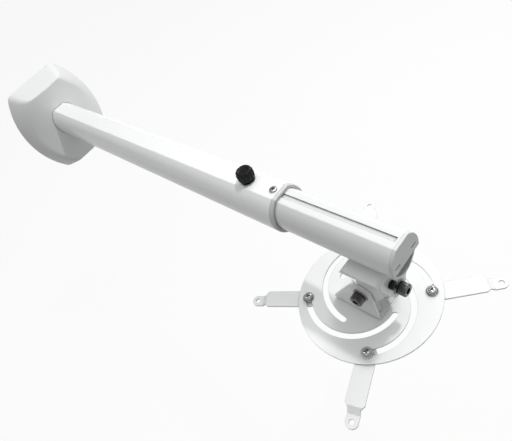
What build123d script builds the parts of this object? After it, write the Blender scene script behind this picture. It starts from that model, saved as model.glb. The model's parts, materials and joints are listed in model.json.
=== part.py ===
from build123d import *
import math
import os

# Projector wall mount, millimetres. +Z is up, the wall is the plane Y = 0 and the room lies towards -Y.
# The origin is on the wall, at the middle of the wall plate, and the arm runs along Y.

# Arm profile: bulging sides, flat on top with two creases, shared by every piece of the telescope
arm_side_reach = 23.0
arm_side_radius = 28.5
arm_side_centre_height = 5.0
arm_flat_height = 29.0
arm_bottom_radius = 16.0
arm_crease_radius = 2.0
tube_wall = 2.0
sleeve_wall = 1.2
sleeve_fit = 0.1
slide_fit = 0.2
inner_tube_wall = 2.0

# Lengths along the arm, measured from the wall
wall_plate_thickness = 4.0
outer_tube_end = 520.0
inner_tube_end = 645.0
inner_tube_length = 354.0
collar_thickness = 4.0
collar_sleeve_length = 30.0
collar_edge_radius = 1.2

# Groove on top of the inner tube
groove_width = 5.0
groove_depth = 1.5
groove_front_margin = 2.0
groove_rear_margin = 12.0
groove_ridge_wall = 1.5

# Wall plate
wall_plate_width = 90.0
wall_plate_height = 104.0
wall_plate_corner = 10.0
wall_hole_spacing_x = 66.0
wall_hole_spacing_z = 84.0
wall_hole_radius = 3.5
cable_hole_radius = 15.0

# Wall cover
cover_height = 152.0
cover_half_width = 69.0
cover_flat_half_width = 43.5
cover_depth = 36.0
cover_draft_inset = 13.0
cover_dome_radius = 111.0
cover_wall = 2.5
cover_edge_radius = 2.5
cover_tube_gap = 0.4

# Collar screw and lock knob on top of the outer tube
collar_screw_distance = 514.0
collar_screw_radius = 1.9
collar_screw_head_radius = 4.0
collar_screw_head_height = 2.0
knob_distance = 480.0
knob_radius = 9.0
knob_height = 11.0
knob_edge_radius = 1.5
knob_flute_count = 14
knob_flute_radius = 1.3
knob_neck_radius = 6.0
knob_neck_height = 2.0
insert_flange_radius = 7.5
insert_flange_height = 1.2
insert_barrel_radius = 4.5
insert_barrel_depth = 1.0
stud_radius = 3.0
stud_thread_gap = 0.05
stud_point_radius = 2.1
stud_point_gap = 0.3
stud_in_knob = 7.0
stud_socket_gap = 0.05

# End cap and rear bush of the inner tube
cap_flange = 3.0
cap_plug_length = 12.0
cap_plug_fit = 0.15
cap_plug_wall = 2.0
cap_edge_radius = 0.5
cap_ridge_gap = 1.5
cap_floor_height = -1.0
cap_slot_offset = 12.0
cap_slot_height = 6.0
cap_slot_length = 7.0
cap_slot_width = 2.2
bush_skirt_length = 8.0
bush_lip = 2.0
bush_fit = 0.3

# Arm bracket under the inner tube
bracket_sheet = 2.5
bracket_width = 50.0
bracket_front = 632.0
bracket_length = 40.0
bracket_bend = 2.5
bracket_flange_width = 44.0
bracket_flange_drop = 12.0
weld_half_width = 7.5
weld_root = 2.5
weld_height = 2.2

# Pivots of the head
roll_axis_height = -54.0
pitch_axis_height = -67.0
pitch_axis_distance = 600.0
roll_lobe_radius = 11.0
pitch_lobe_radius = 15.0
pivot_bolt_radius = 4.0
pivot_running_gap = 0.06
bolt_head_radius = 6.5
bolt_head_height = 8.0
bolt_socket_radius = 3.4
bolt_socket_depth = 4.0
bolt_edge = 0.6
washer_radius = 8.0
washer_thickness = 1.4
nut_across_flats = 13.0
nut_height = 6.5
bolt_tail = 2.0
lock_screw_x = -9.0
lock_screw_height = -36.0
lock_screw_radius = 2.5
lock_screw_head_radius = 4.25
lock_screw_head_height = 5.0
lock_screw_socket_radius = 2.2
lock_screw_tip_gap = 0.3

# Swivel bracket between the two pivots
bracket_side_gap = 0.3
swivel_top = -31.0
swivel_shoulder = -50.0
swivel_corner = 2.0

# Tilt bracket on the disc
tilt_bracket_width = 38.0
tilt_base_length = 54.0
tilt_cheek_foot = 7.0
rivet_x = 9.0
rivet_y = 19.0
rivet_radius = 2.4
rivet_head_radius = 4.0
rivet_head_height = 1.8

# Disc with its curved slots
disc_radius = 75.0
disc_thickness = 2.0
disc_distance = 586.0
disc_height = -108.0
slot_count = 4
slot_phase = 32.0
slot_centre_out = 14.0
slot_centre_across = -4.0
slot_arc_radius = 50.0
slot_sweep = 141.0
slot_width = 6.4

# Support arms and the screws that hold them
arm_gap = 0.2
arm_thickness = 2.0
arm_half_width = 9.5
arm_straight_length = 49.0
arm_shoulder = 4.0
arm_tab_half_width = 6.2
arm_hole_distance = 64.0
arm_hole_radius = 2.75
arm_joggle_start = 51.0
arm_joggle_run = 6.0
arm_joggle_drop = 5.0
slot_screw_radius = 2.95
slot_screw_gap = 0.08
slot_screw_head_radius = 4.8
slot_screw_head_height = 3.2
slot_washer_radius = 6.0
slot_washer_thickness = 1.2
slot_nut_across_flats = 10.0
slot_nut_height = 4.5
slot_screw_tail = 1.0
cross_width = 1.3
cross_length = 5.0
cross_depth = 1.5

# Name of each support arm and how far it is swung from pointing straight out
arm_swings = {"rear_right": 0.0, "rear_left": -3.0, "front_left": -13.0, "front_right": 9.0}

# Sizes that follow from the driving ones
sleeve_inset = tube_wall + sleeve_fit
inner_inset = sleeve_inset + sleeve_wall + slide_fit
inner_bore_inset = inner_inset + inner_tube_wall
outer_top = arm_flat_height
inner_top = arm_flat_height - inner_inset
side_centre_offset = arm_side_radius - arm_side_reach
bottom_centre_drop = math.sqrt((arm_side_radius - arm_bottom_radius) ** 2 - side_centre_offset**2)
bottom_centre_height = arm_side_centre_height - bottom_centre_drop
inner_bottom = bottom_centre_height - (arm_bottom_radius - inner_inset)
groove_floor = inner_top - groove_depth
inner_tube_start = inner_tube_end - inner_tube_length
bracket_web_top = inner_bottom
bracket_rear = bracket_front - bracket_length
flange_inner_front = bracket_front - bracket_sheet
flange_inner_rear = bracket_rear + bracket_sheet
swivel_front = flange_inner_front - bracket_side_gap
swivel_rear = flange_inner_rear + bracket_side_gap
tilt_inner_half = tilt_bracket_width / 2 - bracket_sheet
swivel_half_width = tilt_inner_half - bracket_side_gap
pivot_hole_radius = pivot_bolt_radius + pivot_running_gap
tilt_base_top = disc_height + bracket_sheet
disc_bottom = disc_height - disc_thickness
arm_top = disc_bottom - arm_gap
arm_bottom = arm_top - arm_thickness
slot_start_angle = -math.degrees(math.asin(slot_centre_across / slot_arc_radius))


def arm_profile(inset):
    side = Circle(arm_side_radius - inset)
    outline = Pos(side_centre_offset, arm_side_centre_height) * side
    outline &= Pos(-side_centre_offset, arm_side_centre_height) * side
    below_flat = Rectangle(2 * arm_side_radius, 2 * arm_side_radius)
    outline &= Pos(0, arm_flat_height - inset - arm_side_radius) * below_flat
    outline = fillet(outline.vertices().sort_by(Axis.Y)[:1], arm_bottom_radius - inset)
    return fillet(outline.vertices().sort_by(Axis.Y)[-2:], arm_crease_radius)


def along_arm(face, start, length):
    return extrude(Plane.XZ.offset(start) * face, amount=length)


def above(face, height, length):
    return extrude(Pos(0, 0, height) * face, amount=length)


def across(face, start, length):
    return extrude(Plane.YZ.offset(start) * face, amount=length)


def hexagon(across_flats):
    return RegularPolygon(across_flats / math.sqrt(3), 6)


def save(node, shape):
    export_step(shape, os.path.join("parts", node + ".step"))


# Wall plate and its cover
def make_wall_plate():
    outline = RectangleRounded(wall_plate_width, wall_plate_height, wall_plate_corner)
    holes = GridLocations(wall_hole_spacing_x, wall_hole_spacing_z, 2, 2) * Circle(wall_hole_radius)
    return along_arm(outline - holes - Circle(cable_hole_radius), 0, wall_plate_thickness)


def cover_form(inset):
    half_height = cover_height / 2
    top = half_height - inset
    side = cover_half_width - inset
    bulge = cover_half_width - cover_flat_half_width
    arc_radius = (half_height**2 + bulge**2) / (2 * bulge)
    arc_centre = cover_half_width - arc_radius
    discs = Pos(arc_centre, 0) * Circle(side - arc_centre)
    discs = discs & Pos(-arc_centre, 0) * Circle(side - arc_centre)
    outline = discs & Rectangle(2 * side, 2 * top)
    body = along_arm(outline, 0, cover_depth - inset)
    front = cover_depth - inset
    front_top = half_height - cover_draft_inset * front / cover_depth - inset
    wedge = Polyline((0, -top), (-front, -front_top), (-front, front_top), (0, top), close=True)
    body = body & across(make_face(wedge), -side, 2 * side)
    dome_axis = cover_depth - cover_dome_radius
    dome = Cylinder(cover_dome_radius - inset, 2 * cover_height)
    return body & Pos(0, -dome_axis, 0) * dome


def make_wall_cover():
    outer = cover_form(0)
    rim = outer.edges().filter_by_position(Axis.Y, -1, 1)
    outer = fillet([edge for edge in outer.edges() if edge not in rim], cover_edge_radius)
    tube_hole = along_arm(arm_profile(-cover_tube_gap), 0, cover_depth)
    return outer - cover_form(cover_wall) - tube_hole


# Telescoping arm
def make_outer_tube():
    length = outer_tube_end - wall_plate_thickness
    wall = arm_profile(0) - arm_profile(tube_wall)
    tube = along_arm(wall, wall_plate_thickness, length)
    tube -= Pos(0, -collar_screw_distance, outer_top) * Cylinder(collar_screw_radius, 2 * tube_wall)
    return tube - Pos(0, -knob_distance, outer_top) * Cylinder(insert_barrel_radius, 4 * tube_wall)


def make_tube_collar():
    bore = arm_profile(sleeve_inset + sleeve_wall)
    flange = along_arm(arm_profile(0), outer_tube_end, collar_thickness)
    flange = fillet(flange.edges().group_by(Axis.Y)[0], collar_edge_radius)
    flange -= along_arm(bore, outer_tube_end, collar_thickness)
    sleeve_start = outer_tube_end - collar_sleeve_length
    sleeve = along_arm(arm_profile(sleeve_inset) - bore, sleeve_start, collar_sleeve_length)
    screw_hole = Pos(0, -collar_screw_distance, inner_top) * Cylinder(collar_screw_radius, 4 * tube_wall)
    return flange + sleeve - screw_hole


def make_inner_tube():
    tube = along_arm(arm_profile(inner_inset), inner_tube_start, inner_tube_length)
    tube -= along_arm(arm_profile(inner_bore_inset), inner_tube_start, inner_tube_length)
    start = inner_tube_start + groove_rear_margin
    length = inner_tube_length - groove_rear_margin - groove_front_margin
    ridge_width = groove_width + 2 * groove_ridge_wall
    ridge_height = groove_ridge_wall + groove_depth
    ridge = Pos(0, inner_top - ridge_height / 2) * Rectangle(ridge_width, ridge_height)
    groove = Pos(0, inner_top - groove_depth / 2) * Rectangle(groove_width, groove_depth)
    tube += along_arm(ridge, start - groove_ridge_wall, length + 2 * groove_ridge_wall)
    return tube - along_arm(groove, start, length)


def make_end_cap():
    upper_part = Rectangle(2 * arm_side_reach, 2 * arm_flat_height)
    above_opening = Pos(0, cap_floor_height + arm_flat_height) * upper_part
    flange = along_arm(arm_profile(inner_inset) & above_opening, inner_tube_end, cap_flange)
    front = flange.edges().group_by(Axis.Y)[0]
    flange = fillet(front, cap_edge_radius)
    plug_inset = inner_bore_inset + cap_plug_fit
    wall = arm_profile(plug_inset) - arm_profile(plug_inset + cap_plug_wall)
    ridge_depth = groove_ridge_wall + groove_depth
    clear_width = groove_width + 2 * (groove_ridge_wall + cap_ridge_gap)
    clear_ridge = Pos(0, inner_top - ridge_depth / 2) * Rectangle(clear_width, 2 * ridge_depth)
    plug_start = inner_tube_end - cap_plug_length
    plug = along_arm((wall & above_opening) - clear_ridge, plug_start, cap_plug_length)
    places = Pos(0, cap_slot_height) * GridLocations(2 * cap_slot_offset, 0, 2, 1)
    slots = Sketch() + places * SlotOverall(cap_slot_length, cap_slot_width)
    return flange + plug - along_arm(slots, inner_tube_end, cap_flange)


def make_rear_bush():
    lip = arm_profile(tube_wall + bush_fit) - arm_profile(inner_bore_inset)
    skirt = arm_profile(tube_wall + bush_fit) - arm_profile(inner_inset)
    bush = along_arm(skirt, inner_tube_start, bush_skirt_length)
    return bush + along_arm(lip, inner_tube_start - bush_lip, bush_lip)


# Screws on top of the outer tube
def cross_recess(top):
    bar = Box(cross_length, cross_width, 2 * cross_depth) + Box(cross_width, cross_length, 2 * cross_depth)
    return Pos(0, 0, top) * bar


def make_collar_screw():
    shank_top = outer_top
    shank_length = tube_wall + sleeve_fit + sleeve_wall
    head = above(Circle(collar_screw_head_radius), shank_top, collar_screw_head_height)
    head = fillet(head.edges().group_by(Axis.Z)[-1], collar_screw_head_height / 2)
    head -= cross_recess(shank_top + collar_screw_head_height)
    screw = head + above(Circle(collar_screw_radius), shank_top - shank_length, shank_length)
    return Pos(0, -collar_screw_distance, 0) * screw


def make_knob_insert():
    flange = above(Circle(insert_flange_radius), outer_top, insert_flange_height)
    barrel_depth = tube_wall + insert_barrel_depth
    barrel = above(Circle(insert_barrel_radius), outer_top - barrel_depth, barrel_depth)
    bore = Pos(0, 0, outer_top) * Cylinder(stud_radius + stud_thread_gap, 4 * barrel_depth)
    return Pos(0, -knob_distance, 0) * (flange + barrel - bore)


knob_bottom = outer_top + insert_flange_height + stud_point_gap
stud_top = knob_bottom + knob_neck_height + stud_in_knob


def make_lock_knob():
    neck = above(Circle(knob_neck_radius), knob_bottom, knob_neck_height)
    grip = above(Circle(knob_radius), knob_bottom + knob_neck_height, knob_height)
    grip = fillet(grip.edges().group_by(Axis.Z)[-1], knob_edge_radius)
    flutes = PolarLocations(knob_radius, knob_flute_count) * Circle(knob_flute_radius)
    grip -= above(Sketch() + flutes, knob_bottom + knob_neck_height, knob_height)
    socket_depth = stud_top - knob_bottom
    socket = above(Circle(stud_radius + stud_socket_gap), knob_bottom, socket_depth)
    return Pos(0, -knob_distance, 0) * (neck + grip - socket)


def make_lock_stud():
    point_top = outer_top - tube_wall - insert_barrel_depth
    point_bottom = groove_floor + stud_point_gap
    stud = above(Circle(stud_radius), point_top, stud_top - point_top)
    point = above(Circle(stud_point_radius), point_bottom, point_top - point_bottom)
    return Pos(0, -knob_distance, 0) * (stud + point)


# Bracket welded under the inner tube
def flange_outline():
    foot_height = bracket_web_top - bracket_flange_drop / 2
    foot = Pos(0, foot_height) * Rectangle(bracket_flange_width, bracket_flange_drop)
    lobe = Pos(0, roll_axis_height) * Circle(roll_lobe_radius)
    return make_hull(foot.edges() + lobe.edges())


def folded_channel(width, height):
    outer = Pos(0, height / 2) * Rectangle(width, height)
    inner = Pos(0, height / 2 + bracket_sheet) * Rectangle(width - 2 * bracket_sheet, height)
    outer = fillet(outer.vertices().sort_by(Axis.Y)[:2], bracket_bend + bracket_sheet)
    inner = fillet(inner.vertices().sort_by(Axis.Y)[:2], bracket_bend)
    return outer - inner


def make_arm_bracket():
    height = bracket_web_top - roll_axis_height + roll_lobe_radius
    middle = -(bracket_front + bracket_rear) / 2
    channel = Pos(middle, bracket_web_top) * Rot(0, 0, 180) * folded_channel(bracket_length, height)
    body = across(channel, -bracket_width / 2, bracket_width)
    web_depth = bracket_bend + bracket_sheet
    web = Pos(0, bracket_web_top - web_depth / 2) * Rectangle(bracket_width, web_depth)
    body = body & along_arm(web + flange_outline(), bracket_rear, bracket_length)
    body -= along_arm(Pos(0, roll_axis_height) * Circle(pivot_bolt_radius), bracket_rear, bracket_length)
    return body - lock_screw_shape(lock_screw_radius, flange_inner_front, bracket_sheet)


def lock_screw_shape(radius, start, length):
    return along_arm(Pos(lock_screw_x, lock_screw_height) * Circle(radius), start, length)


def make_bracket_welds():
    bead_top = bracket_web_top + weld_height
    middle = (weld_half_width + weld_root) / 2
    bead = Polyline(
        (weld_root, bracket_web_top), (weld_half_width, bracket_web_top), (middle, bead_top),
        (weld_root, bead_top), close=True,
    )
    face = make_face(bead) - arm_profile(inner_inset)
    length = bracket_length - 2 * bracket_bend
    right = along_arm(face, bracket_rear + bracket_bend, length)
    return Compound(children=[right, mirror(right, Plane.YZ)])


# Pivot bolts, their washers and nuts
def bolt(grip):
    shank_length = grip + 2 * washer_thickness + nut_height + bolt_tail
    head = above(Circle(bolt_head_radius), 0, bolt_head_height)
    head = chamfer(head.edges().group_by(Axis.Z)[-1], bolt_edge)
    socket = hexagon(2 * bolt_socket_radius)
    head -= above(socket, bolt_head_height - bolt_socket_depth, bolt_socket_depth)
    return head + above(Circle(pivot_bolt_radius), -shank_length, shank_length)


def washer():
    return above(Circle(washer_radius) - Circle(pivot_bolt_radius), 0, washer_thickness)


def nut():
    corner_radius = nut_across_flats / math.sqrt(3)
    rounding = above(Circle(corner_radius), 0, nut_height)
    rounding = chamfer(rounding.edges(), bolt_edge)
    body = above(hexagon(nut_across_flats) - Circle(pivot_bolt_radius), 0, nut_height)
    return body & rounding


def pivot_set(front_plane, grip):
    head = front_plane.offset(washer_thickness).location * bolt(grip)
    near = front_plane.location * washer()
    far = front_plane.offset(-grip - washer_thickness).location * washer()
    back = front_plane.offset(-grip - washer_thickness - nut_height).location * nut()
    return head, Compound(children=[near, far]), back


def make_roll_lock_screw():
    head_start = bracket_front
    tip = swivel_front + lock_screw_tip_gap
    shank = lock_screw_shape(lock_screw_radius, tip, head_start - tip)
    head = lock_screw_shape(lock_screw_head_radius, head_start, lock_screw_head_height)
    head = chamfer(head.edges().group_by(Axis.Y)[0], bolt_edge)
    socket = Pos(lock_screw_x, lock_screw_height) * hexagon(2 * lock_screw_socket_radius)
    depth = lock_screw_head_height / 2
    return head + shank - along_arm(socket, head_start + lock_screw_head_height - depth, depth)


# Swivel bracket: a folded ring that carries both pivots
def make_swivel_bracket():
    length = swivel_front - swivel_rear
    middle = -(swivel_front + swivel_rear) / 2
    swivel_bottom = pitch_axis_height - pitch_lobe_radius
    outer = RectangleRounded(2 * swivel_half_width, length, swivel_corner + bracket_sheet)
    inner_width = 2 * (swivel_half_width - bracket_sheet)
    inner = RectangleRounded(inner_width, length - 2 * bracket_sheet, swivel_corner)
    ring = above(Pos(0, middle) * (outer - inner), swivel_bottom, swivel_top - swivel_bottom)
    shoulder_middle = (swivel_top + swivel_shoulder) / 2
    side = Pos(middle, shoulder_middle) * Rectangle(length, swivel_top - swivel_shoulder)
    side_lobe = Pos(-pitch_axis_distance, pitch_axis_height) * Circle(pitch_lobe_radius)
    side = make_hull(side.edges() + side_lobe.edges())
    front = Pos(0, shoulder_middle) * Rectangle(2 * swivel_half_width, swivel_top - swivel_shoulder)
    front_lobe = Pos(0, roll_axis_height) * Circle(roll_lobe_radius)
    front = make_hull(front.edges() + front_lobe.edges())
    body = ring & across(side, -swivel_half_width, 2 * swivel_half_width)
    body += ring & along_arm(front, swivel_rear, length)
    body -= along_arm(Pos(0, roll_axis_height) * Circle(pivot_hole_radius), swivel_rear, length)
    pitch_hole = Pos(-pitch_axis_distance, pitch_axis_height) * Circle(pivot_bolt_radius)
    return body - across(pitch_hole, -swivel_half_width, 2 * swivel_half_width)


# Tilt bracket riveted on the disc
def cheek_outline():
    foot_middle = -disc_distance
    foot = Pos(foot_middle, disc_height + tilt_cheek_foot / 2) * Rectangle(tilt_base_length, tilt_cheek_foot)
    lobe = Pos(-pitch_axis_distance, pitch_axis_height) * Circle(pitch_lobe_radius)
    return make_hull(foot.edges() + lobe.edges())


def make_tilt_bracket():
    height = pitch_axis_height + pitch_lobe_radius - disc_height
    channel = Pos(0, disc_height) * folded_channel(tilt_bracket_width, height)
    rear = disc_distance - tilt_base_length / 2
    body = along_arm(channel, rear, tilt_base_length)
    half = tilt_bracket_width / 2
    body = body & across(cheek_outline(), -half, tilt_bracket_width)
    pitch_hole = Pos(-pitch_axis_distance, pitch_axis_height) * Circle(pivot_hole_radius)
    body -= across(pitch_hole, -half, tilt_bracket_width)
    return body - above(rivet_holes(), disc_height, bracket_sheet)


def rivet_places():
    return Pos(0, -disc_distance) * GridLocations(2 * rivet_x, 2 * rivet_y, 2, 2)


def rivet_holes():
    return Sketch() + rivet_places() * Circle(rivet_radius)


def make_tilt_rivets():
    shank_length = bracket_sheet + disc_thickness
    shank = above(Circle(rivet_radius), disc_bottom, shank_length)
    top = above(Circle(rivet_head_radius), tilt_base_top, rivet_head_height)
    top = fillet(top.edges().group_by(Axis.Z)[-1], rivet_head_height / 2)
    tail = above(Circle(rivet_head_radius), disc_bottom - rivet_head_height / 2, rivet_head_height / 2)
    rivet = top + shank + tail
    return Compound(children=[place * rivet for place in rivet_places()])


# Disc with four curved slots
def turned(angle):
    return Pos(0, -disc_distance, 0) * Rot(0, 0, angle)


def slot_angle(index):
    return slot_phase + index * 360 / slot_count


def make_mount_disc():
    body = above(Pos(0, -disc_distance) * Circle(disc_radius), disc_bottom, disc_thickness)
    path = CenterArc((slot_centre_out, slot_centre_across), slot_arc_radius, slot_start_angle, slot_sweep)
    slot = above(SlotArc(path, slot_width), disc_bottom, disc_thickness)
    for index in range(slot_count):
        body -= turned(slot_angle(index)) * slot
    return body - above(rivet_holes(), disc_bottom, disc_thickness)


# Support arms, each with its screw, washer and nut
screw_out = slot_centre_out + slot_arc_radius * math.cos(math.radians(slot_start_angle))


def place_on_slot(index, swing=0.0):
    return turned(slot_angle(index)) * Pos(screw_out, 0, 0) * Rot(0, 0, swing)


def make_support_arm():
    tab_bottom = arm_bottom - arm_joggle_drop
    length = arm_hole_distance + arm_tab_half_width
    joggle_end = arm_joggle_start + arm_joggle_run
    side = Polyline(
        (-arm_half_width, arm_top), (arm_joggle_start, arm_top), (joggle_end, arm_top - arm_joggle_drop),
        (length, arm_top - arm_joggle_drop), (length, tab_bottom), (joggle_end, tab_bottom),
        (arm_joggle_start, arm_bottom), (-arm_half_width, arm_bottom), close=True,
    )
    strip = extrude(Plane.XZ * make_face(side), amount=arm_half_width, both=True)
    shoulder_end = arm_straight_length + arm_shoulder
    plate = Pos(arm_straight_length / 2, 0) * Rectangle(arm_straight_length, 2 * arm_half_width)
    plate += Circle(arm_half_width)
    taper = Polyline(
        (arm_straight_length, -arm_half_width), (shoulder_end, -arm_tab_half_width),
        (shoulder_end, arm_tab_half_width), (arm_straight_length, arm_half_width), close=True,
    )
    plate += make_face(taper)
    tab_length = arm_hole_distance - shoulder_end
    plate += Pos(shoulder_end + tab_length / 2, 0) * Rectangle(tab_length, 2 * arm_tab_half_width)
    plate += Pos(arm_hole_distance, 0) * Circle(arm_tab_half_width)
    plate -= Circle(slot_screw_radius + slot_screw_gap)
    plate -= Pos(arm_hole_distance, 0) * Circle(arm_hole_radius)
    return strip & above(plate, tab_bottom, arm_top - tab_bottom)


def make_slot_screw():
    seat = disc_height + slot_washer_thickness
    tail = arm_bottom - arm_gap - slot_nut_height - slot_screw_tail
    head = above(Circle(slot_screw_head_radius), seat, slot_screw_head_height)
    head = fillet(head.edges().group_by(Axis.Z)[-1], slot_screw_head_height / 2)
    head -= cross_recess(seat + slot_screw_head_height)
    return head + above(Circle(slot_screw_radius), tail, seat - tail)


def make_slot_washer():
    return above(Circle(slot_washer_radius) - Circle(slot_screw_radius), disc_height, slot_washer_thickness)


def make_slot_nut():
    outline = hexagon(slot_nut_across_flats) - Circle(slot_screw_radius)
    return above(outline, arm_bottom - arm_gap - slot_nut_height, slot_nut_height)


def main():
    os.makedirs("parts", exist_ok=True)
    save("wall_plate", make_wall_plate())
    save("wall_cover", make_wall_cover())
    save("outer_tube", make_outer_tube())
    save("tube_collar", make_tube_collar())
    save("collar_screw", make_collar_screw())
    save("knob_insert", make_knob_insert())
    save("lock_knob", make_lock_knob())
    save("lock_stud", make_lock_stud())
    save("inner_tube", make_inner_tube())
    save("end_cap", make_end_cap())
    save("rear_bush", make_rear_bush())
    save("arm_bracket", make_arm_bracket())
    save("bracket_welds", make_bracket_welds())
    save("roll_lock_screw", make_roll_lock_screw())
    save("swivel_bracket", make_swivel_bracket())
    save("tilt_bracket", make_tilt_bracket())
    save("tilt_rivets", make_tilt_rivets())
    save("mount_disc", make_mount_disc())

    roll_plane = Plane((0, -bracket_front, roll_axis_height), x_dir=(1, 0, 0), z_dir=(0, -1, 0))
    pitch_origin = (-tilt_bracket_width / 2, -pitch_axis_distance, pitch_axis_height)
    pitch_plane = Plane(pitch_origin, x_dir=(0, 0, 1), z_dir=(-1, 0, 0))
    pivots = {"roll": (roll_plane, bracket_length), "pitch": (pitch_plane, tilt_bracket_width)}
    for name, (plane, grip) in pivots.items():
        pieces = pivot_set(plane, grip)
        for kind, piece in zip(("bolt", "washers", "nut"), pieces):
            save(name + "_" + kind, piece)

    for index, (name, swing) in enumerate(arm_swings.items()):
        save("support_arm_" + name, place_on_slot(index, swing) * make_support_arm())
        save("slot_screw_" + name, place_on_slot(index) * make_slot_screw())
        save("slot_washer_" + name, place_on_slot(index) * make_slot_washer())
        save("slot_nut_" + name, place_on_slot(index) * make_slot_nut())


main()
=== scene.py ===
import json
import math
import bmesh
import bpy
from mathutils import Matrix, Vector


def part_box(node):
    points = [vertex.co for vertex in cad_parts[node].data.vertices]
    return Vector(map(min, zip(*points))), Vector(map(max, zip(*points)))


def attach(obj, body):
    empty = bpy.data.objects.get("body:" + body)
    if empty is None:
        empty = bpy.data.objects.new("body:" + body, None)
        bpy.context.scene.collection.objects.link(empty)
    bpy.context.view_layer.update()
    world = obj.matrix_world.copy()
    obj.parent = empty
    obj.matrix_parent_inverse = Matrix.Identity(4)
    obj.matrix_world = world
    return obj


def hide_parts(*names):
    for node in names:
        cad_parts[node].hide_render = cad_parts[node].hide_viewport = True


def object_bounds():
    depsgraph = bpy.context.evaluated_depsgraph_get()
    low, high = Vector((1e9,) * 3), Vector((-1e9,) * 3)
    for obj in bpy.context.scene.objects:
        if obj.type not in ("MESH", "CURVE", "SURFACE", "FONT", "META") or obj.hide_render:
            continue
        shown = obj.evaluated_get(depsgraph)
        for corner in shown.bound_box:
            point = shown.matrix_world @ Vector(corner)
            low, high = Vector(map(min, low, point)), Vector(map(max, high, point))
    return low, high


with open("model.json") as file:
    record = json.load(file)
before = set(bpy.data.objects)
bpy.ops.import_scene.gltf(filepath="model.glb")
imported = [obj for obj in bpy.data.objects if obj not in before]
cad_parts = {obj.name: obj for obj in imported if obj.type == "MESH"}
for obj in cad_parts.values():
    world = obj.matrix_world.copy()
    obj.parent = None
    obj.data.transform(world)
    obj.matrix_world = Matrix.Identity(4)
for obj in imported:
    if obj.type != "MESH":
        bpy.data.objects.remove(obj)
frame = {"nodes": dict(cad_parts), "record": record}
nodes = frame["nodes"]
record = frame["record"]
cadLow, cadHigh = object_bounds()
mm = 0.001
bodyOf = {name: body for body, members in record["behaviour"]["bodies"].items() for name in members}
slotOf = {part["node"]: part["material_slot"] for part in record["subparts"]}
print("frame loaded:", len(nodes), "nodes")


# Node trees: a value that is a socket is linked, any other is set
def feed(tree, node, inputs):
    for name, value in inputs.items():
        if isinstance(value, bpy.types.NodeSocket):
            tree.links.new(value, node.inputs[name])
        else:
            node.inputs[name].default_value = value


def addNode(tree, kind, inputs=None, **settings):
    node = tree.nodes.new(kind)
    for name, value in settings.items():
        setattr(node, name, value)
    feed(tree, node, inputs or {})
    return node


def addMath(tree, operation, *values, clamp=False):
    settings = {"operation": operation, "use_clamp": clamp}
    return addNode(tree, "ShaderNodeMath", dict(enumerate(values)), **settings).outputs[0]


def startTree(name, treeKind, inputs, outputs):
    tree = bpy.data.node_groups.new(name, treeKind)
    for label, (kind, value) in inputs.items():
        socket = tree.interface.new_socket(name=label, in_out="INPUT", socket_type="NodeSocket" + kind)
        if value is not None:
            socket.default_value = value
    for label, kind in outputs.items():
        tree.interface.new_socket(name=label, in_out="OUTPUT", socket_type="NodeSocket" + kind)
    return tree, tree.nodes.new("NodeGroupInput").outputs, tree.nodes.new("NodeGroupOutput")


surfaceOutputs = {"Color": "Color", "Roughness": "Float", "Height": "Float"}


# Tone and gloss that vary with a noise, and the relief that goes with them
def endSurfaceGroup(group, given, result, noise, amount, height):
    centred = addMath(group, "SUBTRACT", noise, 0.5)
    level = addMath(group, "MULTIPLY_ADD", centred, amount, 1.0)
    tinted = addNode(group, "ShaderNodeVectorMath", {0: given["Tone"], "Scale": level}, operation="SCALE")
    gloss = addMath(group, "MULTIPLY_ADD", centred, given["Gloss Change"], given["Roughness"])
    feed(group, result, {"Color": tinted.outputs["Vector"], "Roughness": gloss, "Height": height})


# Paint or moulded plastic skin: a soft ripple, slight clouding of tone and of gloss
def buildSkinGroup():
    inputs = {"Tone": ("Color", (0.8, 0.8, 0.8, 1.0)), "Ripple Scale": ("Float", 900.0),
              "Cloud Scale": ("Float", 14.0), "Clouding": ("Float", 0.03), "Roughness": ("Float", 0.35),
              "Gloss Change": ("Float", 0.06)}
    group, given, result = startTree("paintSkin", "ShaderNodeTree", inputs, surfaceOutputs)
    place = addNode(group, "ShaderNodeTexCoord").outputs["Object"]
    ripple = addNode(group, "ShaderNodeTexNoise", {"Vector": place, "Scale": given["Ripple Scale"],
                                                   "Detail": 2.0, "Roughness": 0.45})
    cloud = addNode(group, "ShaderNodeTexNoise", {"Vector": place, "Scale": given["Cloud Scale"],
                                                  "Detail": 3.0, "Roughness": 0.55})
    endSurfaceGroup(group, given, result, cloud.outputs["Fac"], given["Clouding"], ripple.outputs["Fac"])
    return group


# Machined metal: fine drawn lines, spots of uneven plating
def buildMachinedGroup():
    inputs = {"Tone": ("Color", (0.6, 0.6, 0.6, 1.0)), "Line Scale": ("Float", 1400.0),
              "Line Stretch": ("Float", 0.06), "Spot Scale": ("Float", 260.0), "Spotting": ("Float", 0.12),
              "Roughness": ("Float", 0.28), "Gloss Change": ("Float", 0.18)}
    group, given, result = startTree("machinedMetal", "ShaderNodeTree", inputs, surfaceOutputs)
    place = addNode(group, "ShaderNodeTexCoord").outputs["Object"]
    stretch = addNode(group, "ShaderNodeCombineXYZ", {"X": 1.0, "Y": 1.0, "Z": given["Line Stretch"]})
    drawn = addNode(group, "ShaderNodeVectorMath", {0: place, 1: stretch.outputs[0]}, operation="MULTIPLY")
    lines = addNode(group, "ShaderNodeTexNoise", {"Vector": drawn.outputs[0], "Scale": given["Line Scale"],
                                                  "Detail": 2.0})
    spots = addNode(group, "ShaderNodeTexNoise", {"Vector": place, "Scale": given["Spot Scale"],
                                                  "Detail": 4.0, "Roughness": 0.6})
    endSurfaceGroup(group, given, result, spots.outputs["Fac"], given["Spotting"], lines.outputs["Fac"])
    return group


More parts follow.
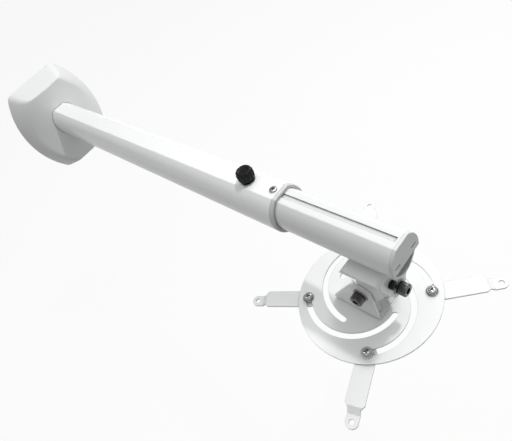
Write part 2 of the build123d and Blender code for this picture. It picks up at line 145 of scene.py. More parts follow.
# Edges and corners: a rounded shading normal, a mask of where the surface turns, and painted shade in
# crevices from ambient occlusion
def buildEdgeGroup():
    raySamples = 6
    inputs = {"Radius": ("Float", 0.4 * mm), "Contrast": ("Float", 3.0), "Crevice Reach": ("Float", 3 * mm),
              "Crevice": ("Float", 0.5)}
    outputs = {"Normal": "Vector", "Edge": "Float", "Shade": "Float"}
    group, given, result = startTree("paintedEdgeAndCrevice", "ShaderNodeTree", inputs, outputs)
    bevel = addNode(group, "ShaderNodeBevel", {"Radius": given["Radius"]}, samples=raySamples)
    surface = addNode(group, "ShaderNodeNewGeometry")
    normals = {0: bevel.outputs["Normal"], 1: surface.outputs["Normal"]}
    match = addNode(group, "ShaderNodeVectorMath", normals, operation="DOT_PRODUCT")
    turn = addMath(group, "SUBTRACT", 1.0, match.outputs["Value"])
    mask = addMath(group, "MULTIPLY", turn, given["Contrast"], clamp=True)
    reach = {"Distance": given["Crevice Reach"]}
    # Ambient occlusion darkens crevices, joints and recesses: painted shade
    closed = addNode(group, "ShaderNodeAmbientOcclusion", reach, samples=raySamples)
    hidden = addMath(group, "SUBTRACT", 1.0, closed.outputs["AO"])
    paintedShade = addMath(group, "MULTIPLY", hidden, given["Crevice"])
    unshadedShare = addMath(group, "SUBTRACT", 1.0, paintedShade, clamp=True)
    feed(group, result, {"Normal": bevel.outputs["Normal"], "Edge": mask, "Shade": unshadedShare})
    return group


skinGroup = buildSkinGroup()
edgeGroup = buildEdgeGroup()
machinedGroup = buildMachinedGroup()


# A surface with its own relief; its edges get a painted tone, a painted highlight on dark parts and painted
# shade on pale ones, and its crevices get painted shade
def surfaceMaterial(name, look, group, varied, fixed):
    material = bpy.data.materials.new(name)
    material.use_nodes = True
    tree = material.node_tree
    values = {label: look[key] for label, key in varied.items()}
    surface = addNode(tree, "ShaderNodeGroup", {"Tone": (*look["tone"], 1.0), **values}, node_tree=group)
    edgeValues = {"Radius": look["edgeRadius"], "Crevice": look["crevice"]}
    edge = addNode(tree, "ShaderNodeGroup", edgeValues, node_tree=edgeGroup)
    tones = {"Factor": edge.outputs["Edge"], "A": surface.outputs["Color"], "B": (*look["paintedEdgeTone"], 1.0)}
    # The edge mask mixes in the edge tone: lighter edges are painted highlight, darker edges painted shade
    edgePaintedColour = addNode(tree, "ShaderNodeMix", tones, data_type="RGBA")
    shades = {0: edgePaintedColour.outputs["Result"], "Scale": edge.outputs["Shade"]}
    # Scaled by the crevice shade: painted shade in crevices and joints
    paintedShadeColour = addNode(tree, "ShaderNodeVectorMath", shades, operation="SCALE")
    bump = addNode(tree, "ShaderNodeBump", {
        "Strength": look["reliefStrength"], "Distance": look["reliefDepth"],
        "Height": surface.outputs["Height"], "Normal": edge.outputs["Normal"]})
    feed(tree, tree.nodes["Principled BSDF"], {
        "Base Color": paintedShadeColour.outputs["Vector"], "Roughness": surface.outputs["Roughness"],
        "Normal": bump.outputs["Normal"], **fixed})
    return material


def skinMaterial(name, look):
    varied = {"Ripple Scale": "rippleScale", "Clouding": "clouding", "Roughness": "roughness"}
    fixed = {"IOR": look["ior"], "Coat Weight": look["coat"], "Coat Roughness": look["coatRoughness"]}
    return surfaceMaterial(name, look, skinGroup, varied, fixed)


def metalMaterial(name, look):
    varied = {"Spotting": "spotting", "Roughness": "roughness", "Gloss Change": "glossChange"}
    return surfaceMaterial(name, look, machinedGroup, varied, {"Metallic": 1.0})


# paintedEdgeTone is painted light on edges: darker than the tone on most white parts (painted shade),
# lighter on the end cap and on the grey, black and metal parts (painted highlight); the crevice value sets
# the painted shade in crevices
powderCoat = {"tone": (0.82, 0.83, 0.83), "paintedEdgeTone": (0.42, 0.43, 0.43), "rippleScale": 700.0,
              "clouding": 0.04, "roughness": 0.3, "edgeRadius": 0.7 * mm, "reliefStrength": 0.12,
              "reliefDepth": 0.05 * mm, "ior": 1.5, "coat": 0.25, "coatRoughness": 0.12, "crevice": 0.3}
whiteMoulding = {**powderCoat, "tone": (0.73, 0.74, 0.74), "paintedEdgeTone": (0.68, 0.69, 0.69),
                 "rippleScale": 2200.0, "reliefStrength": 0.25, "roughness": 0.42, "coat": 0.0}
greyMoulding = {**whiteMoulding, "tone": (0.5, 0.51, 0.51), "paintedEdgeTone": (0.6, 0.61, 0.61)}
blackMoulding = {**whiteMoulding, "tone": (0.004, 0.004, 0.0045), "paintedEdgeTone": (0.04, 0.04, 0.04),
                 "roughness": 0.38, "edgeRadius": 0.3 * mm, "ior": 1.3}
zincPlate = {"tone": (0.42, 0.42, 0.41), "paintedEdgeTone": (0.7, 0.7, 0.69), "spotting": 0.25, "roughness": 0.3,
             "glossChange": 0.25, "edgeRadius": 0.15 * mm, "reliefStrength": 0.15,
             "reliefDepth": 0.03 * mm, "crevice": 0.95}
brightPlate = {**zincPlate, "tone": (0.55, 0.55, 0.56), "paintedEdgeTone": (0.8, 0.8, 0.8), "roughness": 0.16,
               "spotting": 0.1}
darkSteel = {**zincPlate, "tone": (0.1, 0.1, 0.105), "paintedEdgeTone": (0.45, 0.45, 0.45), "roughness": 0.22}
blackSteel = {**zincPlate, "tone": (0.02, 0.02, 0.021), "paintedEdgeTone": (0.09, 0.09, 0.09)}
materials = {
    "white_paint": skinMaterial("whitePowderCoat", powderCoat),
    "white_plastic": skinMaterial("whiteMoulding", whiteMoulding),
    "grey_plastic": skinMaterial("greyMoulding", greyMoulding),
    "black_plastic": skinMaterial("blackMoulding", blackMoulding),
    "zinc_steel": metalMaterial("zincPlate", zincPlate),
    "bright_steel": metalMaterial("brightPlate", brightPlate),
}
darkSteelMaterial = metalMaterial("darkenedSteel", darkSteel)
blackSteelMaterial = metalMaterial("blackenedSteel", blackSteel)

# Three pieces are a little greyer than the other white ones
ownMaterials = {
    # The inner tube's higher crevice value deepens the painted shade in its groove and joints
    "inner_tube": skinMaterial("innerCoat", {**powderCoat, "tone": (0.73, 0.74, 0.74), "crevice": 0.9}),
    "tube_collar": skinMaterial("collarMoulding", {**whiteMoulding, "tone": (0.56, 0.57, 0.57),
                                                   "paintedEdgeTone": (0.5, 0.51, 0.51)}),
    "end_cap": skinMaterial("capMoulding", {**whiteMoulding, "tone": (0.64, 0.65, 0.65)}),
}
for name, node in nodes.items():
    node.data.materials.clear()
    node.data.materials.append(ownMaterials.get(name, materials[slotOf[name]]))
print("materials made")


def placeObject(name, data):
    placed = bpy.data.objects.new(name, data)
    bpy.context.scene.collection.objects.link(placed)
    return placed


def plainMesh(name, points, faces):
    mesh = bpy.data.meshes.new(name)
    mesh.from_pydata(points, [], faces)
    return mesh


def joinMeshes(name, meshes):
    work = bmesh.new()
    for mesh in meshes:
        work.from_mesh(mesh)
    joined = bpy.data.meshes.new(name)
    work.to_mesh(joined)
    work.free()
    return joined


# A mesh round the Z axis, in rows of radius and height from its lower pole to its upper one; a row that is
# a function gives them for an angle
def polarMesh(name, rows, count):
    points, faces, rings = [], [], []
    for row in rows:
        if not callable(row) and row[0] == 0.0:
            rings.append([len(points)] * count)
            points.append((0.0, 0.0, row[1]))
            continue
        rings.append(list(range(len(points), len(points) + count)))
        for step in range(count):
            angle = 2 * math.pi * step / count
            radius, height = row(angle) if callable(row) else row
            points.append((radius * math.cos(angle), radius * math.sin(angle), height))
    for lower, upper in zip(rings, rings[1:]):
        for step in range(count):
            after = (step + 1) % count
            corners = (lower[step], lower[after], upper[after], upper[step])
            faces.append(tuple(dict.fromkeys(corners)))
    return plainMesh(name, points, faces)


meshFinish = {"mergeDistance": 0.002 * mm, "sharpAngle": math.radians(38)}


def finishPiece(name, mesh, body, material, replaced=()):
    work = bmesh.new()
    work.from_mesh(mesh)
    bmesh.ops.remove_doubles(work, verts=work.verts, dist=meshFinish["mergeDistance"])
    bmesh.ops.recalc_face_normals(work, faces=work.faces)
    work.to_mesh(mesh)
    work.free()
    mesh.materials.clear()
    mesh.materials.append(material)
    piece = placeObject(name, mesh)
    mesh.shade_smooth()
    mesh.set_sharp_from_angle(angle=meshFinish["sharpAngle"])
    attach(piece, body)
    if replaced:
        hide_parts(*replaced)


# Geometry Nodes: a tree with named inputs is run once on a mesh and gives a plain mesh
def runTree(tree, mesh, values):
    carrier = placeObject("carrier", mesh)
    modifier = carrier.modifiers.new("shape", "NODES")
    modifier.node_group = tree
    for item in tree.interface.items_tree:
        if item.in_out == "INPUT" and item.name in values:
            modifier[item.identifier] = values[item.name]
    bpy.context.view_layer.update()
    evaluated = carrier.evaluated_get(bpy.context.evaluated_depsgraph_get())
    shaped = bpy.data.meshes.new_from_object(evaluated)
    bpy.data.objects.remove(carrier)
    return shaped


def startShapeTree(name, inputs):
    ends = {"Geometry": ("Geometry", None), **inputs, "Material": ("Material", None)}
    return startTree(name, "GeometryNodeTree", ends, {"Geometry": "Geometry"})


def liftShape(tree, shape, height):
    lift = addNode(tree, "ShaderNodeCombineXYZ", {"Z": height})
    raised = {"Geometry": shape, "Translation": lift.outputs[0]}
    return addNode(tree, "GeometryNodeTransform", raised).outputs[0]


def endShapeTree(tree, given, result, parts):
    joined = addNode(tree, "GeometryNodeJoinGeometry")
    for part in parts:
        tree.links.new(part, joined.inputs[0])
    real = addNode(tree, "GeometryNodeRealizeInstances", {0: joined.outputs[0]})
    coat = {"Geometry": real.outputs[0], "Material": given["Material"]}
    feed(tree, result, {0: addNode(tree, "GeometryNodeSetMaterial", coat).outputs[0]})


ribShape = {"sides": 12, "steps": 10, "endPower": 8.0, "leastWidth": 0.04}


# Upright ribs on a ring, round-ended, set on the body that comes in
def buildRibTree(look):
    tree, given, result = startShapeTree("ribRing", {
        "Count": ("Int", 14), "Ring Radius": ("Float", 8 * mm), "Rib Radius": ("Float", 1 * mm),
        "Rib Height": ("Float", 10 * mm), "Middle Height": ("Float", 0.0)})
    circle = {"Vertices": given["Count"], "Radius": given["Ring Radius"]}
    ring = addNode(tree, "GeometryNodeMeshCircle", circle)
    bar = addNode(tree, "GeometryNodeMeshCylinder", {
        "Vertices": look["sides"], "Side Segments": look["steps"], "Radius": given["Rib Radius"],
        "Depth": given["Rib Height"]})
    place = addNode(tree, "GeometryNodeInputPosition").outputs[0]
    parts = addNode(tree, "ShaderNodeSeparateXYZ", {0: place})
    half = addMath(tree, "MULTIPLY", given["Rib Height"], 0.5)
    share = addMath(tree, "ABSOLUTE", addMath(tree, "DIVIDE", parts.outputs["Z"], half))
    fall = addMath(tree, "SUBTRACT", 1.0, addMath(tree, "POWER", share, look["endPower"]))
    width = addMath(tree, "SQRT", addMath(tree, "MAXIMUM", fall, look["leastWidth"]))
    scale = addNode(tree, "ShaderNodeCombineXYZ", {"X": width, "Y": width, "Z": 1.0})
    rounded = addNode(tree, "ShaderNodeVectorMath", {0: place, 1: scale.outputs[0]}, operation="MULTIPLY")
    moved = {"Geometry": bar.outputs["Mesh"], "Position": rounded.outputs[0]}
    rib = addNode(tree, "GeometryNodeSetPosition", moved)
    placed = {"Points": ring.outputs[0], "Instance": rib.outputs[0]}
    copies = addNode(tree, "GeometryNodeInstanceOnPoints", placed)
    raised = liftShape(tree, copies.outputs[0], given["Middle Height"])
    endShapeTree(tree, given, result, (given["Geometry"], raised))
    return tree


threadShape = {"stepsPerTurn": 28, "ridgeSides": 4}


# Thread: a ridge wound round the shank that comes in
def buildThreadTree(look):
    tree, given, result = startShapeTree("threadRidge", {
        "Crest Radius": ("Float", 4 * mm), "Ridge": ("Float", 0.4 * mm), "Pitch": ("Float", 1.25 * mm),
        "Length": ("Float", 6 * mm), "Low End": ("Float", 0.0)})
    core = addMath(tree, "SUBTRACT", given["Crest Radius"], given["Ridge"])
    turns = addMath(tree, "DIVIDE", given["Length"], given["Pitch"])
    winding = addNode(tree, "GeometryNodeCurveSpiral", {
        "Resolution": look["stepsPerTurn"], "Rotations": turns, "Start Radius": core, "End Radius": core,
        "Height": given["Length"]})
    section = addNode(tree, "GeometryNodeCurvePrimitiveCircle", {
        "Resolution": look["ridgeSides"], "Radius": given["Ridge"]})
    swept = {"Curve": winding.outputs[0], "Profile Curve": section.outputs[0], "Fill Caps": True}
    ridge = addNode(tree, "GeometryNodeCurveToMesh", swept)
    raised = liftShape(tree, ridge.outputs[0], given["Low End"])
    endShapeTree(tree, given, result, (given["Geometry"], raised))
    return tree


dropShape = {"segments": 16, "rings": 10, "leastSize": 0.86, "mostSize": 1.05}


# Weld: overlapping drops along a line, each a little different
def buildWeldTree(look):
    tree, given, result = startShapeTree("weldBead", {
        "Drops": ("Int", 20), "Start": ("Vector", None), "Step": ("Vector", None),
        "Drop Radius": ("Float", 1.5 * mm), "Seed": ("Int", 4)})
    course = {"Count": given["Drops"], "Start Location": given["Start"], "Offset": given["Step"]}
    line = addNode(tree, "GeometryNodeMeshLine", course, mode="OFFSET")
    drop = addNode(tree, "GeometryNodeMeshUVSphere", {
        "Segments": look["segments"], "Rings": look["rings"], "Radius": given["Drop Radius"]})
    sizes = {2: look["leastSize"], 3: look["mostSize"], "Seed": given["Seed"]}
    vary = addNode(tree, "FunctionNodeRandomValue", sizes, data_type="FLOAT")
    placed = {"Points": line.outputs[0], "Instance": drop.outputs["Mesh"], "Scale": vary.outputs[1]}
    copies = addNode(tree, "GeometryNodeInstanceOnPoints", placed)
    endShapeTree(tree, given, result, (copies.outputs[0],))
    return tree


ribTree = buildRibTree(ribShape)
threadTree = buildThreadTree(threadShape)
weldTree = buildWeldTree(dropShape)

# Wall cover: a soft-edged moulded shell; its depth falls off towards every edge
coverLook = {"halfHeight": 76 * mm, "halfWidth": 69 * mm, "flatHalf": 43.5 * mm, "depth": 36 * mm,
             "domeRadius": 111 * mm, "topSlope": 2.77, "sideSlope": 2.3, "domeFade": 0.75,
             "topSoftness": 5 * mm, "sideSoftness": 15 * mm, "wall": 2.3 * mm, "tubeGap": 0.4 * mm,
             "around": 216, "across": 46, "edgeCrowding": 1.7, "tubeReach": 60 * mm, "outerReach": 150 * mm}
# The outer tube's section, which the opening in the cover follows
armSection = {"sideRadius": 28.5 * mm, "sideCentre": 5.5 * mm, "sideHeight": 5 * mm, "top": 29 * mm,
              "bottomRadius": 16 * mm, "bottomHeight": -6.225 * mm, "bottomSlope": 2.04}
halvings = 40


def softMin(first, second, softness):
    return min(first, second) - max(softness - abs(first - second), 0.0) ** 2 / (4 * softness)


def insideArm(x, z, grow):
    section = armSection
    side = math.hypot(abs(x) + section["sideCentre"], z - section["sideHeight"])
    low = z - section["bottomHeight"]
    if low < 0 and abs(x) * section["bottomSlope"] < -low:
        return math.hypot(x, low) < section["bottomRadius"] + grow
    return z < section["top"] + grow and side < section["sideRadius"] + grow


def coverLevel(x, z, look):
    bulge = look["halfWidth"] - look["flatHalf"]
    sideRadius = (look["halfHeight"] ** 2 + bulge**2) / (2 * bulge)
    side = look["sideSlope"] * (sideRadius - math.hypot(abs(x) + sideRadius - look["halfWidth"], z))
    top = look["topSlope"] * (look["halfHeight"] - abs(z))
    fall = look["domeRadius"] - math.sqrt(max(look["domeRadius"] ** 2 - x * x, 0.0))
    dome = look["depth"] - fall * (1 - look["domeFade"] * min(abs(z) / look["halfHeight"], 1.0) ** 2)
    return softMin(softMin(top, dome, look["topSoftness"]), side, look["sideSoftness"])


# How far a direction from the middle stays where a test holds
def reachAlong(angle, test, limit):
    low, high = 0.0, limit
    for _ in range(halvings):
        middle = (low + high) / 2
        if test(middle * math.sin(angle), middle * math.cos(angle)):
            low = middle
        else:
            high = middle
    return low


def makeCover(look):
    points, faces = [], []
    around, across = look["around"], look["across"]
    for step in range(around):
        angle = 2 * math.pi * step / around
        start = reachAlong(angle, lambda x, z: insideArm(x, z, look["tubeGap"]), look["tubeReach"])
        end = reachAlong(angle, lambda x, z: coverLevel(x, z, look) > 0, look["outerReach"])
        for row in range(across + 1):
            reach = start + (end - start) * (1 - (1 - row / across) ** look["edgeCrowding"])
            x, z = reach * math.sin(angle), reach * math.cos(angle)
            points.append(Vector((x, -max(coverLevel(x, z, look), 0.0), z)))
    width = across + 1
    starts = [(step * width, (step + 1) % around * width) for step in range(around)]
    for near, far in starts:
        faces += [(near + row, far + row, far + row + 1, near + row + 1) for row in range(across)]
    outer = plainMesh("coverOuter", points, faces)
    normals = [vertex.normal.copy() for vertex in outer.vertices]
    flip = 1.0 if normals[width // 2].y < 0 else -1.0
    inner = []
    for point, normal in zip(points, normals):
        back = point - flip * look["wall"] * normal
        inner.append(Vector((back.x, min(back.y, 0.0), back.z)))
    total = len(points)
    faces += [tuple(total + corner for corner in reversed(face)) for face in faces]
    for near, far in starts:
        for row in (0, across):
            faces.append((near + row, far + row, far + row + total, near + row + total))
    mesh = plainMesh("coverShell", points + inner, faces)
    finishPiece("coverShell", mesh, bodyOf["wall_cover"], materials["white_plastic"],
                ["wall_cover"])


makeCover(coverLook)
print("cover shell made")

# Lock knob: a neck, a ribbed grip with a dished top, and a bore for the stud
knobLook = {"axis": (0.0, -480 * mm, 0.0), "bottom": 30.5 * mm, "neck": 6 * mm, "neckEdge": 0.3 * mm,
            "neckTop": 32.4 * mm, "core": 7.95 * mm, "top": 43.5 * mm, "lowRound": 0.5 * mm,
            "topRound": 1.3 * mm, "roundSteps": 6, "dish": 0.7 * mm,
            "dishProfile": ((5.6 * mm, 0.0), (5.1 * mm, 0.6), (4.6 * mm, 1.0), (2.0 * mm, 1.0), (0.0, 0.8)),
            "ribs": 14, "ribRadius": 1.04 * mm, "ribStart": 0.3 * mm, "ribMargin": 1.6 * mm,
            "bore": 3.05 * mm, "boreDepth": 6 * mm, "sides": 84}


def makeKnob(look):
    low, high, core, neck = look["neckTop"], look["top"], look["core"], look["neck"]
    bottom, edge, lowRound, topRound = look["bottom"], look["neckEdge"], look["lowRound"], look["topRound"]
    rows = [(0.0, low + look["boreDepth"]), (look["bore"], low + look["boreDepth"]), (look["bore"], bottom),
            (neck - edge, bottom), (neck, bottom + edge), (neck, low - lowRound), (neck + lowRound, low),
            (core - lowRound, low), (core, low + lowRound)]
    for step in range(look["roundSteps"] + 1):
        turn = math.pi / 2 * step / look["roundSteps"]
        rows.append((core - topRound + topRound * math.cos(turn),
                     high - topRound + topRound * math.sin(turn)))
    rows += [(radius, high - look["dish"] * share) for radius, share in look["dishProfile"]]
    body = polarMesh("knobCore", rows, look["sides"])
    height = high - low - look["ribMargin"]
    material = materials["black_plastic"]
    mesh = runTree(ribTree, body, {
        "Count": look["ribs"], "Ring Radius": core, "Rib Radius": look["ribRadius"], "Rib Height": height,
        "Middle Height": low + look["ribStart"] + height / 2, "Material": material})
    mesh.transform(Matrix.Translation(look["axis"]))
    finishPiece("ribbedKnob", mesh, bodyOf["lock_knob"], material, ["lock_knob"])


makeKnob(knobLook)

# Socket-head bolts in mm: a knurled head with a six-sided socket, and a threaded tail
pivotBolt = {"out": (-1, 0, 0), "head": 6.5, "height": 8.0, "socket": 3.4, "socketDepth": 4.0,
             "socketTip": 0.5, "edge": 0.3, "shank": 4.0, "thread": 9.0, "pitch": 1.25, "ridgeShare": 0.3,
             "knurls": 40, "knurl": 0.12, "knurlSeat": 1.6, "knurlRound": 1.5, "knurlMargin": 1.5,
             "knurlDrop": 0.2, "crownSteps": 4, "sides": 72, "material": darkSteelMaterial}
boltLooks = {
    "rollBolt": {**pivotBolt, "node": "roll_bolt", "base": (0.0, -633.4, -54.0), "out": (0, -1, 0),
                 "length": 51.3},
    "pitchBolt": {**pivotBolt, "node": "pitch_bolt", "base": (-20.4, -600.0, -67.0), "length": 49.3},
    "rollLockScrew": {**pivotBolt, "node": "roll_lock_screw", "base": (-9.0, -632.0, -36.0),
                      "out": (0, -1, 0), "head": 4.25, "height": 5.0, "socket": 2.2, "socketDepth": 2.5,
                      "shank": 2.5, "length": 2.5, "thread": 2.4, "pitch": 0.8, "knurls": 30,
                      "material": blackSteelMaterial},
}


# The lower end of a screw, with its threaded length narrowed for the ridge
def tailRows(shank, length, thread, ridge):
    return [(0.0, -length), (shank - 2 * ridge, -length), (shank - ridge, -length + ridge),
            (shank - ridge, -length + thread), (shank, -length + thread + ridge), (shank, 0.0)]


def windThread(mesh, shank, length, thread, ridge, pitch, material):
    return runTree(threadTree, mesh, {
        "Crest Radius": shank, "Ridge": ridge, "Pitch": pitch, "Length": thread - 2 * ridge,
        "Low End": -length + ridge, "Material": material})


def makeSocketBolt(name, look):
    head, height, shank, length = (look[key] * mm for key in ("head", "height", "shank", "length"))
    flat, depth, pitch, thread = (look[key] * mm for key in ("socket", "socketDepth", "pitch", "thread"))
    knurl, edge, tip = (look[key] * mm for key in ("knurl", "edge", "socketTip"))
    ridge = look["ridgeShare"] * pitch
    side, chamfer, crownHeight, crownWidth = head - knurl, 3 * knurl, 6 * knurl, 5 * knurl

    def sixSided(grow, level):
        def row(angle):
            turn = (angle + math.pi / 6) % (math.pi / 3) - math.pi / 6
            return flat * math.cos(math.pi / 6) / math.cos(turn) + grow, level
        return row

    rows = tailRows(shank, length, thread, ridge)
    rows += [(side - chamfer, 0.0), (side, chamfer), (side, height - crownHeight)]
    for step in range(1, look["crownSteps"] + 1):
        turn = math.pi / 2 * step / look["crownSteps"]
        rows.append((side - crownWidth * (1 - math.cos(turn)), height - crownHeight * (1 - math.sin(turn))))
    rows += [sixSided(edge, height), sixSided(0.0, height - edge), sixSided(0.0, height - depth),
             (0.0, height - depth - tip)]
    body = polarMesh(name, rows, look["sides"])
    threaded = windThread(body, shank, length, thread, ridge, pitch, look["material"])
    ribbed = runTree(ribTree, threaded, {
        "Count": look["knurls"], "Ring Radius": head - look["knurlSeat"] * knurl,
        "Rib Radius": look["knurlRound"] * knurl, "Rib Height": height - look["knurlMargin"] * mm,
        "Middle Height": height / 2 - look["knurlDrop"] * mm, "Material": look["material"]})
    turn = Vector(look["out"]).to_track_quat("Z", "Y").to_matrix().to_4x4()
    ribbed.transform(Matrix.Translation(Vector(look["base"]) * mm) @ turn)
    node = look["node"]
    finishPiece(name, ribbed, bodyOf[node], look["material"], [node])


for name, look in boltLooks.items():
    makeSocketBolt(name, look)
print("knob and pivot bolts made")

# Cross-head screws in mm: a domed head with a tapering cross, and a threaded tail
screwLook = {"head": 4.75, "height": 3.2, "rim": 0.9, "edge": 0.2, "shank": 2.95, "tail": 11.1,
             "thread": 6.0, "pitch": 0.9, "ridgeShare": 0.3, "crossLong": 2.5, "crossWide": 0.62,
             "crossDepth": 1.7, "crossEdge": 0.15, "domeShares": (0.97, 0.9, 0.78, 0.6, 0.4, 0.2, 0.05),
             "edgeShare": 0.94, "floorShare": 0.5, "tipShare": 1.15, "sides": 96}
collarScrewLook = {**screwLook, "head": 4.0, "height": 2.0, "rim": 0.6, "shank": 1.9, "tail": 3.3,
                   "thread": 2.0, "pitch": 0.7, "crossLong": 2.2, "crossWide": 0.55, "crossDepth": 1.3,
                   "base": (0.0, -514.0, 29.0), "turn": 0.5}
screwTurns = {"rear_right": 0.3, "rear_left": 1.1, "front_left": 0.7, "front_right": 0.1}
tiny = 1e-6


def makeCrossScrew(name, node, look, base, turnAngle):
    head, height, rim, edge = (look[key] * mm for key in ("head", "height", "rim", "edge"))
    shank, tail, thread, pitch = (look[key] * mm for key in ("shank", "tail", "thread", "pitch"))
    longHalf, wideHalf, depth = (look[key] * mm for key in ("crossLong", "crossWide", "crossDepth"))
    ridge = look["ridgeShare"] * pitch

    def crossReach(angle):
        along, aside = max(abs(math.cos(angle)), tiny), max(abs(math.sin(angle)), tiny)
        first = min(longHalf / along, wideHalf / aside)
        second = min(wideHalf / along, longHalf / aside)
        return max(first, second)

    def crossed(share, level):
        return lambda angle: (share * crossReach(angle), level)

    def domed(share):
        level = rim + (height - rim) * math.sqrt(1 - share**2)
        return lambda angle: (crossReach(angle) + (head - crossReach(angle)) * share, level)

    rows = tailRows(shank, tail, thread, ridge)
    rows += [(head - edge, 0.0), (head, edge), (head, rim)]
    rows += [domed(share) for share in look["domeShares"]]
    rows += [crossed(1.0, height), crossed(look["edgeShare"], height - look["crossEdge"] * mm),
             crossed(look["floorShare"], height - depth), (0.0, height - depth * look["tipShare"])]
    body = polarMesh(name, rows, look["sides"])
    material = materials["bright_steel"]
    mesh = windThread(body, shank, tail, thread, ridge, pitch, material)
    mesh.transform(Matrix.Translation(base) @ Matrix.Rotation(turnAngle, 4, "Z"))
    finishPiece(name, mesh, bodyOf[node], material, [node])


for armName, turnAngle in screwTurns.items():
    low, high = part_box("slot_screw_" + armName)
    base = Vector(((low.x + high.x) / 2, (low.y + high.y) / 2, high.z - screwLook["height"] * mm))
    makeCrossScrew("crossScrew_" + armName, "slot_screw_" + armName, screwLook, base, turnAngle)
collarBase = [value * mm for value in collarScrewLook["base"]]
makeCrossScrew("collarCrossScrew", "collar_screw", collarScrewLook, collarBase, collarScrewLook["turn"])

# Weld beads in mm, in the corners between the rounded tube and the bracket's web
weldLook = {"from": (5.9, -594.6, -17.9), "drops": 24, "step": 1.5, "radius": 1.35, "seeds": {-1: 4, 1: 6}}


def makeWelds(look):
    x, y, z = (value * mm for value in look["from"])
    material = materials["white_paint"]
    beads = []
    for side, seed in look["seeds"].items():
        beads.append(runTree(weldTree, bpy.data.meshes.new("weldLine"), {
            "Drops": look["drops"], "Start": (side * x, y, z), "Step": (0.0, -look["step"] * mm, 0.0),
            "Drop Radius": look["radius"] * mm, "Seed": seed, "Material": material}))
    finishPiece("weldBeads", joinMeshes("weldBeads", beads), bodyOf["bracket_welds"],
                material, ["bracket_welds"])


makeWelds(weldLook)

# Dark rounded bars in mm, set just inside the two slots of the end cap: painted shade for the slots' dark
# inside
slotShadeLook = {"places": (-12.0, 12.0), "height": 6.0, "front": 647.3, "back": 645.3, "halfLength": 3.45,
            "radius": 1.05, "edgeDepth": 0.3, "edgeInset": 0.25, "steps": 32}


def makeCapSlotShades(look):
    steps = look["steps"]
    radius, straight = look["radius"] * mm, (look["halfLength"] - look["radius"]) * mm
    rows = ((look["back"], radius), (look["front"] - look["edgeDepth"], radius),
            (look["front"], radius - look["edgeInset"] * mm))
    faces = []
    for first in (0, steps):
        for step in range(steps):
            near, far = first + step, first + (step + 1) % steps
            faces.append((near, far, far + steps, near + steps))
    faces += [tuple(range(steps)), tuple(range(steps * 2, steps * 3))]
    slotShades = []
    for place in look["places"]:
        points = []
        for depth, reach in rows:
            for step in range(steps):
                angle = 2 * math.pi * (step + 0.5) / steps
                x = reach * math.cos(angle) + math.copysign(straight, math.cos(angle))
                z = reach * math.sin(angle)
                points.append((place * mm + x, -depth * mm, look["height"] * mm + z))
        slotShades.append(plainMesh("slotShade", points, faces))
    # The dark bars are painted shade standing in for the shadow inside the slots
    finishPiece("capSlotShades", joinMeshes("capSlotShades", slotShades), bodyOf["end_cap"],
                materials["black_plastic"])


makeCapSlotShades(slotShadeLook)
print("screws, welds and clips made")

# The camera stands left of the arm, before its head, and looks down on it
cameraLook = {"place": (-0.16372, -0.78984, 0.32206), "focalPixels": 461.56, "imageWidth": 512,
              "sensorWidth": 36.0, "nearest": 0.01, "farthest": 50.0,
              "right": (0.61641620, -0.69676642, -0.36680733),
              "down": (-0.72528205, -0.32102917, -0.60902071),
              "forward": (0.30658933, 0.64144901, -0.70323976)}


def makeCamera(look):
    data = bpy.data.cameras.new("camera")
    data.sensor_width = look["sensorWidth"]
    data.lens = look["focalPixels"] / look["imageWidth"] * look["sensorWidth"]
    data.clip_start = look["nearest"]
    data.clip_end = look["farthest"]
    camera = placeObject("camera", data)
    axes = Matrix((Vector(look["right"]), -Vector(look["down"]), -Vector(look["forward"])))
    camera.matrix_world = Matrix.Translation(look["place"]) @ axes.transposed().to_4x4()
    bpy.context.scene.camera = camera


makeCamera(cameraLook)

# Pale studio: a floor well below the arm that shows as white paper, and a sky that is dimmer at the horizon
studio = {"floorDrop": 0.45, "floorSize": 14.0, "floorTone": 0.8, "floorBounce": 0.4, "floorGlow": 0.9,
          "horizon": 0.255, "zenith": 0.56}


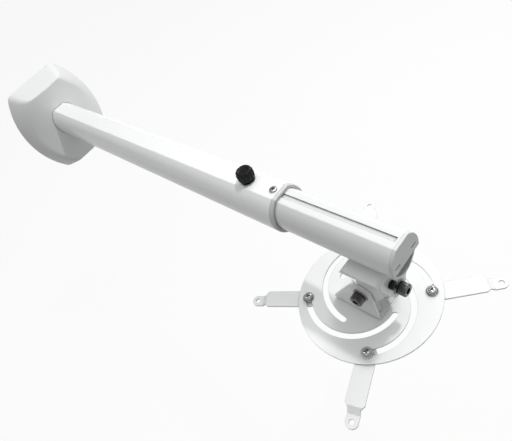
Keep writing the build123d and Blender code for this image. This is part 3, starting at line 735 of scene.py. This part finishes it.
def makeFloor(look):
    half = look["floorSize"] / 2
    height = cadLow.z - look["floorDrop"]
    corners = [(-half, -half, height), (half, -half, height), (half, half, height), (-half, half, height)]
    mesh = plainMesh("floor", corners, [(0, 1, 2, 3)])
    floor = placeObject("floor", mesh)
    material = bpy.data.materials.new("floorPaper")
    material.use_nodes = True
    tree = material.node_tree
    tree.nodes.clear()
    rays = addNode(tree, "ShaderNodeLightPath")
    tone = addNode(tree, "ShaderNodeMapRange", {
        "Value": rays.outputs["Is Camera Ray"], "To Min": look["floorBounce"], "To Max": look["floorTone"]})
    paper = addNode(tree, "ShaderNodeBsdfDiffuse", {"Color": tone.outputs[0]})
    glow = addNode(tree, "ShaderNodeEmission", {"Strength": 1.0})
    seen = addMath(tree, "MAXIMUM", rays.outputs["Is Camera Ray"], rays.outputs["Is Glossy Ray"])
    share = addMath(tree, "MULTIPLY", seen, look["floorGlow"])
    blend = addNode(tree, "ShaderNodeMixShader", {"Fac": share, 1: paper.outputs[0], 2: glow.outputs[0]})
    addNode(tree, "ShaderNodeOutputMaterial", {"Surface": blend.outputs[0]})
    mesh.materials.append(material)


def makeSky(look):
    world = bpy.data.worlds.new("studio")
    world.use_nodes = True
    bpy.context.scene.world = world
    tree = world.node_tree
    rays = addNode(tree, "ShaderNodeLightPath")
    direction = addNode(tree, "ShaderNodeTexCoord")
    parts = addNode(tree, "ShaderNodeSeparateXYZ", {0: direction.outputs["Generated"]})
    sky = addNode(tree, "ShaderNodeMapRange", {
        "Value": parts.outputs["Z"], "To Min": look["horizon"], "To Max": look["zenith"]})
    level = addNode(tree, "ShaderNodeMapRange", {
        "Value": rays.outputs["Is Camera Ray"], "To Min": sky.outputs[0], "To Max": 1.0})
    feed(tree, tree.nodes["Background"], {"Color": (1.0, 1.0, 1.0, 1.0), "Strength": level.outputs[0]})


lampLooks = {
    "topLamp": {"place": (-0.1, -0.5, 1.3), "aim": (0.0, -0.4, 0.0), "size": 1.2, "power": 4.4},
    "keyLamp": {"place": (0.47, -0.85, 1.28), "aim": (0.0, -0.55, -0.05), "size": 0.08, "power": 8.4},
    "rightLamp": {"place": (1.3, -0.3, 0.8), "aim": (0.0, -0.4, 0.0), "size": 0.9, "power": 12.5},
}


def makeLamp(name, look):
    data = bpy.data.lights.new(name, "AREA")
    data.size = look["size"]
    data.energy = look["power"]
    lamp = placeObject(name, data)
    lamp.location = look["place"]
    lamp.rotation_euler = (Vector(look["aim"]) - Vector(look["place"])).to_track_quat("-Z", "Y").to_euler()


makeFloor(studio)
makeSky(studio)
for name, look in lampLooks.items():
    makeLamp(name, look)
bpy.context.scene.view_settings.view_transform = "Standard"
print("camera, floor and lamps placed")
